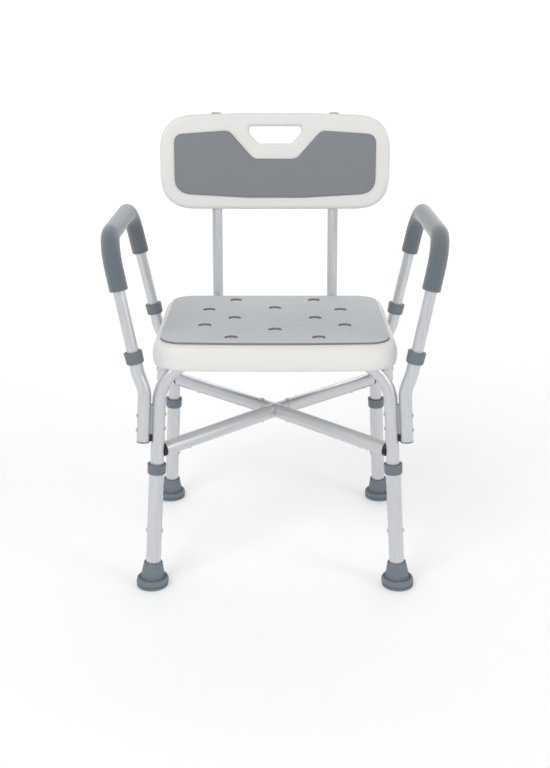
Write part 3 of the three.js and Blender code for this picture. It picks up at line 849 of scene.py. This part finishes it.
def post_strip(name, corner, low, high, half_width):
    """A strip in the gap between a post and its leg, hollowed to both tubes."""
    out = corner.post_offset.normalized()
    basis = Matrix((out, corner.up.cross(out), corner.up)).transposed().to_4x4()
    place = Matrix.Translation(corner.leg((low + high) / 2) + corner.post_offset * 0.5) @ basis
    half = (high - low) / 2
    strip = block(name, (-3, -half_width, -half), (3, half_width, half), place, 0.8)
    start, end = corner.leg(low - 20), corner.leg(high + 20)
    leg = rod("leg", start, end, INNER_LEG + 0.15)
    post = rod("post", start + corner.post_offset, end + corner.post_offset, POST_TUBE + 0.15)
    return cut(strip, leg, post)


def add_arm(side, front, rear):
    def leg_side(corner):
        top = Vector((corner.sx * ARM_TOP_X, CENTRE_Y + corner.sy * ARM_TOP_Y, ARM_TOP_Z))
        return [corner.arm(ARM_INSERT_Z), corner.arm(ARM_KINK_Z), top]

    fore, aft = leg_side(front), leg_side(rear)
    route = bent_route(fore + aft[::-1], [120, ARM_BEND, ARM_BEND, 120], 16)
    obj = tube(f"armrest_tube_{side}", route, ARM_TUBE)
    show(obj, DRAWN_UP, f"arm_{side}", "aluminium", f"arm_loop_{side}")

    t = (GRIP_END_Z - ARM_KINK_Z) / (ARM_TOP_Z - ARM_KINK_Z)
    ends = [points[1].lerp(points[2], t) for points in (fore, aft)]
    sleeve = bent_route([ends[0], fore[2], aft[2], ends[1]], [ARM_BEND, ARM_BEND], 18)
    obj = tube(f"foam_grip_{side}", sleeve, GRIP_RADIUS, ARM_TUBE + 0.3, 1.4)
    show(obj, GRIP_FOAM, f"arm_{side}", "grip_foam", f"arm_grip_{side}")


# ---- seat --------------------------------------------------------------------------------------------

SEAT_LOW, SEAT_HIGH = box_mm("seat_panel")
PAD_LOW, PAD_HIGH = box_mm("seat_pad")


def bowed_outline(low, high, bow, corner, inset=0.0, steps=14, edge_steps=24):
    """A rounded rectangle whose front edge bows out, always with the same number of points."""
    x = high.x - inset
    front = low.y + bow + inset
    rear = high.y - inset
    r = max(corner - inset, 2)
    points = []
    for cx, cy, start in ((x - r, front + r, -90), (x - r, rear - r, 0), (-x + r, rear - r, 90),
                          (-x + r, front + r, 180)):
        for k in range(steps + 1):
            a = math.radians(start + 90 * k / steps)
            points.append((cx + r * math.cos(a), cy + r * math.sin(a)))
    span = x - r
    for k in range(1, edge_steps):
        t = -1 + 2 * k / edge_steps
        points.append((t * span, front - bow * (1 - t * t)))
    return points


def stacked(name, layers):
    """A closed body through outlines at their heights, flat at both ends."""
    points, faces = [], []
    count = len(layers[0][0])
    for outline, z in layers:
        points += [Vector((x, y, z)) for x, y in outline]
    for i in range(len(layers) - 1):
        faces += ring_faces(i * count, (i + 1) * count, count)
    faces.append(tuple(reversed(range(count))))
    faces.append(tuple(range((len(layers) - 1) * count, len(layers) * count)))
    return tidy(mesh_object(name, points, faces))


def pad_holes():
    return [(x, CENTRE_Y + y) for y, columns in HOLE_ROWS for x in columns]


def frame_channels():
    """Tools that make room for both frames under the seat."""
    reach = INNER_LEG + CHANNEL_GAP
    channels = []
    for left, right in ((CORNERS[0], CORNERS[1]), (CORNERS[2], CORNERS[3])):
        y = left.leg(FRAME_RUN_Z).y
        channels.append(tube("channel", frame_route(left, right), reach, 0, sides=BUTTON_ROUND))
        low = (-CHANNEL_HALF, y - reach, SEAT_LOW.z - 8)
        channels.append(block("channel", low, (CHANNEL_HALF, y + reach, FRAME_RUN_Z)))
    return channels


def add_seat_panel():
    def rim(inset, z):
        return bowed_outline(SEAT_LOW, SEAT_HIGH, SEAT_BOW, SEAT_CORNER, inset), z

    low, high = SEAT_LOW.z, SEAT_HIGH.z
    # heights of the moulded edge, from the underside to the top
    edge = soften([
        (20, low), (4, low, 5), (0.6, low + 8, 6), (0, low + 26, 8), (4, high - 5, 8), (12, high, 6),
        (16, high),
    ], steps=7)
    panel = stacked("seat_shell", [rim(inset, z) for inset, z in edge])
    pocket_outline = bowed_outline(PAD_LOW, PAD_HIGH, PAD_BOW, PAD_CORNER, inset=-0.6)
    pocket = stacked("pocket", [(pocket_outline, PAD_LOW.z - 0.3), (pocket_outline, high + 10)])
    bosses = [rod("boss", Vector((x, y, PAD_LOW.z - 5)), Vector((x, y, BOSS_TOP_Z)), BOSS_RADIUS, edge=1.2)
              for x, y in pad_holes()]
    drains = [rod("drain", Vector((x, y, low - 5)), Vector((x, y, high + 5)), DRAIN, sides=BUTTON_ROUND)
              for x, y in pad_holes()]
    cut(panel, pocket, *frame_channels())
    joined(panel, merged("bosses", bosses))
    cut(panel, merged("drains", drains))
    show(panel, WHITE, "chassis", "white_plastic", "seat_panel")


def add_seat_pad():
    outline = bowed_outline(PAD_LOW, PAD_HIGH, PAD_BOW, PAD_CORNER)
    holes = [circle(x, y, PAD_HOLE) for x, y in pad_holes()]
    pad = slab("seat_cushion", outline, holes, PAD_HIGH.z - PAD_LOW.z, 1.5)
    pad.data.transform(Matrix.Translation(UP * (PAD_LOW.z + PAD_HIGH.z) / 2 * MM))
    show(tidy(pad, 50), SEAT_FOAM, "chassis", "seat_foam", "seat_pad")
    # Painted shade on the pad's sides and hole walls.
    paint_shade_on_sides(pad, UP, SEAT_FOAM_PAINTED_SHADE)


# ---- backrest ----------------------------------------------------------------------------------------

BACK_TUBE_LOW, BACK_TUBE_HIGH = box_mm("back_tube_left")
BACK_TUBE_X = (BACK_TUBE_LOW.x + BACK_TUBE_HIGH.x) / 2
BACK_PANEL_HALF = box_mm("back_panel")[1].x
BACK_LEAN = Vector((0, math.sin(BACK_TILT), math.cos(BACK_TILT)))


def back_line(sx, z):
    """A point of a back tube's straight part."""
    y, start_z = BACK_LINE
    y += CENTRE_Y + (z - start_z) * math.tan(BACK_TILT)
    return Vector((sx * BACK_TUBE_X, y, z))


def back_route(sx):
    start = Vector((sx * BACK_TUBE_X, BACK_TUBE_LOW.y, BACK_RUN_Z))
    return bent_route([start, back_line(sx, BACK_RUN_Z), back_line(sx, BACK_TOP_Z)], [BACK_BEND], 14)


def mirror_outline(half, grow=0.0, steps=12):
    """A closed outline from the corners of its right half, (x, z, radius), listed anticlockwise."""
    corners = half + [(-x, z, r) for x, z, r in reversed(half)]
    count = len(corners)
    softened = []
    for i, (x, z, radius) in enumerate(corners):
        here = Vector((x, z))
        into = (here - Vector(corners[i - 1][:2])).normalized()
        out = (Vector(corners[(i + 1) % count][:2]) - here).normalized()
        turn = math.atan2(into.x * out.y - into.y * out.x, into.dot(out))
        outward = Vector((into.y + out.y, -into.x - out.x)).normalized()
        here = here + outward * (grow / math.cos(turn / 2))
        softened.append((here.x, here.y, radius * abs(math.tan(turn / 2))))
    return [tuple(p) for p in soften(softened, closed=True, steps=steps)]


def back_outline():
    half, top = BACK_PANEL_HALF, BACK_HEIGHT
    return mirror_outline([(70, -1, 300), (half, 0, 72), (half, top - BACK_BULGE, 74), (70, top, 300)])


def back_pad_outline(grow=0.0):
    half = [(60, 24, 300), (210, 33, 36), (210, 153, 20), (97, 161, 20), (45, 103, 22)]
    return mirror_outline(half, grow)


def handle_outline(grow=0.0):
    return mirror_outline([(35, 135.6, 12), (54.6, 156.5, 12), (54.6, 170.5, 6.5)], grow)


def flare(name, outline, mouth, inside, outside):
    """A cutter that eases a hole's edge: it widens from its inner depth to the face."""
    steps = 6
    layers = []
    for k in range(steps + 1):
        t = k / steps
        layers.append((outline(mouth * (1 - math.sqrt(max(0, 1 - t * t)))), inside + (outside - inside) * t))
    layers.append((outline(mouth), outside + 5))
    return stacked(name, layers)


def on_back(x, up, forward):
    """From the backrest's plan to its place: it leans back, and its sides curve forward."""
    bow = BACK_BOW * (x / BACK_PANEL_HALF) ** 2
    local = Vector((x, -forward - bow, up))
    foot = back_line(0, BACK_FOOT_Z)
    return foot + Matrix.Rotation(-BACK_TILT, 3, "X") @ local


def bend_back(obj):
    """Puts a flat piece drawn in the backrest's plan (x across, y up, z forward) on the backrest."""
    mesh = bmesh.new()
    mesh.from_mesh(obj.data)
    spacing = 16
    for k in range(-15, 16):
        everything = mesh.verts[:] + mesh.edges[:] + mesh.faces[:]
        bmesh.ops.bisect_plane(
            mesh, geom=everything, plane_co=(k * spacing * MM, 0, 0), plane_no=(1, 0, 0))
    for vert in mesh.verts:
        vert.co = on_back(*(vert.co / MM)) * MM
    mesh.to_mesh(obj.data)
    mesh.free()
    return tidy(obj, 40)


def add_back_panel():
    panel = slab("back_shell", back_outline(), [], 2 * BACK_HALF, 8.5)
    handle = stacked("handle", [(handle_outline(), -40), (handle_outline(), 40)])
    fore = flare("fore", handle_outline, 6.5, BACK_HALF - 7, BACK_HALF)
    aft = flare("aft", handle_outline, 5, -BACK_HALF + 6, -BACK_HALF)
    pocket = slab("pocket", back_pad_outline(0.6), [], 40, 0.4)
    pocket.data.transform(Matrix.Translation(UP * (20 + BACK_POCKET) * MM))
    cut(panel, pocket, handle, fore, aft)
    show(bend_back(panel), WHITE, "chassis", "white_plastic", "back_panel")

    rear, front = BACK_PAD
    pad = slab("back_cushion", back_pad_outline(), [], front - rear, 1.6)
    pad.data.transform(Matrix.Translation(UP * (rear + front) / 2 * MM))
    show(bend_back(pad), BACK_FOAM, "chassis", "back_foam", "back_pad")


def add_back_tube(side, sx):
    """A back tube with its two screws, its cap and its end plug."""
    head = soften([(0, 2.1), (3.4, 1.7, 1), (4.2, 0.2, 0.4), (4.2, -2), (0, -2)])
    for level, up in BACK_SCREW_HEIGHTS.items():
        place = aim(on_back(sx * BACK_TUBE_X, up, -BACK_HALF), X.cross(BACK_LEAN))
        screw = turned(f"back_screw_{side}_{level}", head, place, sides=SCREW_ROUND)
        show(screw, STEEL, "chassis", "steel")
    route = back_route(sx)
    obj = tube(f"back_upright_{side}", route, BACK_TUBE)
    show(obj, DRAWN_UP, "chassis", "aluminium", f"back_tube_{side}")
    bore = BACK_TUBE - WALL
    top = plug(f"back_cap_{side}", route[-1][0], route[-1][1], BACK_TUBE, bore, 12, 3.2)
    show(top, GREY, "chassis", "grey_plastic")
    end = plug(f"back_end_plug_{side}", route[0][0], -route[0][1], BACK_TUBE, bore, 12)
    show(end, GREY, "chassis", "grey_plastic")


def add_back_bracket(place):
    """A bar that holds both back tubes under the seat, with two screws beside each tube."""
    node = f"back_bracket_{place}"
    low, high = box_mm(node)
    bar = block(f"back_clamp_{place}", low, high, bevel=1.5)
    relief = block("relief", (-92, low.y - 2, low.z - 2), (92, high.y + 2, high.z - 14), bevel=3)
    seats = [tube("seat", back_route(sx), BACK_TUBE + 0.4, 0) for sx in (-1, 1)]
    show(cut(bar, relief, *seats), GREY, "chassis", "grey_plastic", node)
    head = soften([(0, -2.2), (3.4, -1.9, 1), (3.9, 0), (0, 0)])
    for side, sx in (("right", -1), ("left", 1)):
        for letter, shift in (("a", -BRACKET_SCREW_SHIFT), ("b", BRACKET_SCREW_SHIFT)):
            spot = Vector((sx * BACK_TUBE_X + shift, (low.y + high.y) / 2, low.z))
            screw = turned(f"clamp_screw_{place}_{side}_{letter}", head, Matrix.Translation(spot), sides=24)
            show(screw, STEEL, "chassis", "steel")


# ---- assembly ------------------------------------------------------------------------------------------

add_camera()
add_studio()
for corner in CORNERS:
    add_foot(corner)
    add_leg(corner)
    add_post(corner)
    add_fixing(corner)
add_frames()
add_brace()
add_arm("left", CORNERS[0], CORNERS[2])
add_arm("right", CORNERS[1], CORNERS[3])
add_seat_panel()
add_seat_pad()
add_back_panel()
for side, sx in (("left", 1), ("right", -1)):
    add_back_tube(side, sx)
for place in ("front", "rear"):
    add_back_bracket(place)
